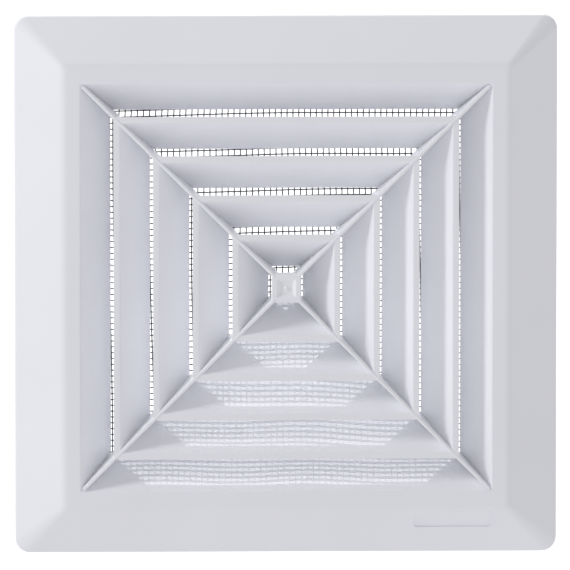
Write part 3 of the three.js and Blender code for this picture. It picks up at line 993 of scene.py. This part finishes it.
def make_clip_spring():
    """A torsion spring of round wire, with its two ends drawn in a little."""
    path = spring_path()
    reference = Vector((1, 0, 0))
    loops = []
    for index, point in enumerate(path):
        tangent = (path[min(index + 1, len(path) - 1)] - path[max(index - 1, 0)]).normalized()
        side = (reference - tangent * reference.dot(tangent)).normalized()
        up = tangent.cross(side)
        radius = SPRING_WIRE_RADIUS * (0.8 if index in (0, len(path) - 1) else 1.0)
        loop = []
        for corner in range(SPRING_WIRE_SIDES):
            angle = math.tau * corner / SPRING_WIRE_SIDES
            loop.append(point + radius * (side * math.cos(angle) + up * math.sin(angle)))
        loops.append(loop)
    spring = loft("torsion_spring", loops)
    smooth(spring, 60)
    return spring


def place_spring(spring, quarters, side):
    """Puts a turned copy of the spring on one side, with its material."""
    item = quarter_copy(spring, quarters, f"coiled_spring_{side}")
    dress_piece(item, f"clip_spring_{side}", SPRING_WIRE)
    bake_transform(item)


def make_clips():
    """Makes one arm, pin and spring at the top, and puts a turned copy of each on every side."""
    arm = make_clip_arm()
    pin = make_clip_pin()
    spring = make_clip_spring()
    for quarters, side in enumerate(SIDES):
        arm_copy = quarter_copy(arm, quarters, f"steel_clip_arm_{side}")
        finish_piece(arm_copy, f"clip_arm_{side}", f"clip_{side}", CLIP_STEEL)
        pin_copy = quarter_copy(pin, quarters, f"steel_pin_{side}")
        finish_piece(pin_copy, f"clip_pin_{side}", "housing", PIN_STEEL)
        place_spring(spring, quarters, side)
    for original in (arm, pin, spring):
        discard(original)


# Stage, lights and camera, with lengths in metres.
FLOOR_SIZE = 60.0
FLOOR_DROP = 0.02


def make_stage():
    """A pale floor below the object, left out of its soft light and reflections."""
    bpy.ops.mesh.primitive_plane_add(size=FLOOR_SIZE, location=(0, 0, cad_bounds[0][2] - FLOOR_DROP))
    floor = bpy.context.object
    floor.name = "pale_floor"
    material, nodes, _ = new_material("pale_floor")
    shader = nodes["Principled BSDF"]
    shader.inputs["Base Color"].default_value = (0.9, 0.9, 0.9, 1)
    shader.inputs["Roughness"].default_value = 0.9
    shader.inputs["Emission Color"].default_value = (1, 1, 1, 1)
    shader.inputs["Emission Strength"].default_value = 0.5
    floor.data.materials.append(material)
    floor.visible_diffuse = False
    floor.visible_glossy = False


def aim(item, direction, distance):
    """Places a light at a distance from the origin and points it past the origin along a direction."""
    direction = Vector(direction).normalized()
    item.location = -direction * distance
    item.rotation_euler = direction.to_track_quat("-Z", "Y").to_euler()


def area_light(name, direction, distance, width, height, strength, colour):
    light = bpy.data.lights.new(name, "AREA")
    light.shape = "RECTANGLE"
    light.size = width
    light.size_y = height
    light.energy = strength
    light.color = colour
    item = bpy.data.objects.new(name, light)
    bpy.context.scene.collection.objects.link(item)
    aim(item, direction, distance)


# The sky gets brighter behind the object and towards the floor: axis, from, to, and strength at each.
SKY_COLOUR = (0.98, 0.978, 1.0, 1)
SKY_RAMPS = [("Y", 0.0, 0.9, 0.51, 1.05), ("Z", 0.2, -0.8, 0.0, 0.4)]

# Name, direction that the light travels in, distance, width, height, power in watts and colour.
AREA_LIGHTS = [
    ("key_softbox", (0.855, 0.302, -0.423), 1.6, 0.34, 0.6, 9, (1, 1, 1)),
    ("low_fill", (-0.92, 0.38, 0.15), 1.6, 0.3, 0.5, 2.5, (1, 1, 1)),
    ("duct_light", (0, -1, 0), 0.05, 0.14, 0.14, 0.062, (0.98, 0.98, 1)),
]

# A small hard light from behind and above throws the net's pattern on the lower louvres.
SUN_DIRECTION = (0, -0.47, -0.88)
SUN_DISTANCE = 2
SUN_STRENGTH = 1.5
SUN_ANGLE_DEGREES = 0.35


def make_sky():
    """A pale sky whose strength is the sum of the ramps along its axes."""
    world = bpy.data.worlds.new("studio")
    world.use_nodes = True
    nodes, links = world.node_tree.nodes, world.node_tree.links
    background = nodes["Background"]
    background.inputs["Color"].default_value = SKY_COLOUR
    direction = nodes.new("ShaderNodeTexCoord")
    parts = nodes.new("ShaderNodeSeparateXYZ")
    total = nodes.new("ShaderNodeMath")
    links.new(direction.outputs["Generated"], parts.inputs["Vector"])
    for index, (axis, dark_at, bright_at, low, high) in enumerate(SKY_RAMPS):
        level = nodes.new("ShaderNodeMapRange")
        level.interpolation_type = "SMOOTHSTEP"
        level.inputs["From Min"].default_value = dark_at
        level.inputs["From Max"].default_value = bright_at
        level.inputs["To Min"].default_value = low
        level.inputs["To Max"].default_value = high
        links.new(parts.outputs[axis], level.inputs["Value"])
        links.new(level.outputs["Result"], total.inputs[index])
    links.new(total.outputs[0], background.inputs["Strength"])
    bpy.context.scene.world = world


def make_lights():
    make_sky()
    for light in AREA_LIGHTS:
        area_light(*light)
    sun = bpy.data.lights.new("back_light", "SUN")
    sun.energy = SUN_STRENGTH
    sun.angle = math.radians(SUN_ANGLE_DEGREES)
    item = bpy.data.objects.new("back_light", sun)
    bpy.context.scene.collection.objects.link(item)
    aim(item, SUN_DIRECTION, SUN_DISTANCE)


# Camera angles in degrees and lens in millimetres.
CAMERA_AZIMUTH = 1.3
CAMERA_ELEVATION = 7.9
CAMERA_DISTANCE = 4.963
CAMERA_LENS = 850
CAMERA_TARGET = (-0.0002, 0, -0.0007)


def make_camera():
    """A long lens a little above and to one side of the face."""
    camera = bpy.data.cameras.new("camera")
    camera.lens = CAMERA_LENS
    camera.sensor_width = 36
    camera.clip_start = 0.1
    camera.clip_end = 100
    item = bpy.data.objects.new("camera", camera)
    bpy.context.scene.collection.objects.link(item)
    azimuth = math.radians(CAMERA_AZIMUTH)
    elevation = math.radians(CAMERA_ELEVATION)
    direction = Vector((
        math.sin(azimuth) * math.cos(elevation),
        math.cos(azimuth) * math.cos(elevation),
        -math.sin(elevation),
    ))
    item.rotation_euler = direction.to_track_quat("-Z", "Y").to_euler()
    item.location = Vector(CAMERA_TARGET) - direction * CAMERA_DISTANCE
    bpy.context.scene.camera = item


bpy.context.scene.view_settings.view_transform = "Standard"
make_camera()
make_lights()
make_stage()
make_face_frame()
make_core()
make_insect_screen()
make_screen_frame()
make_neck_collar()
make_gasket()
make_screws()
make_clips()
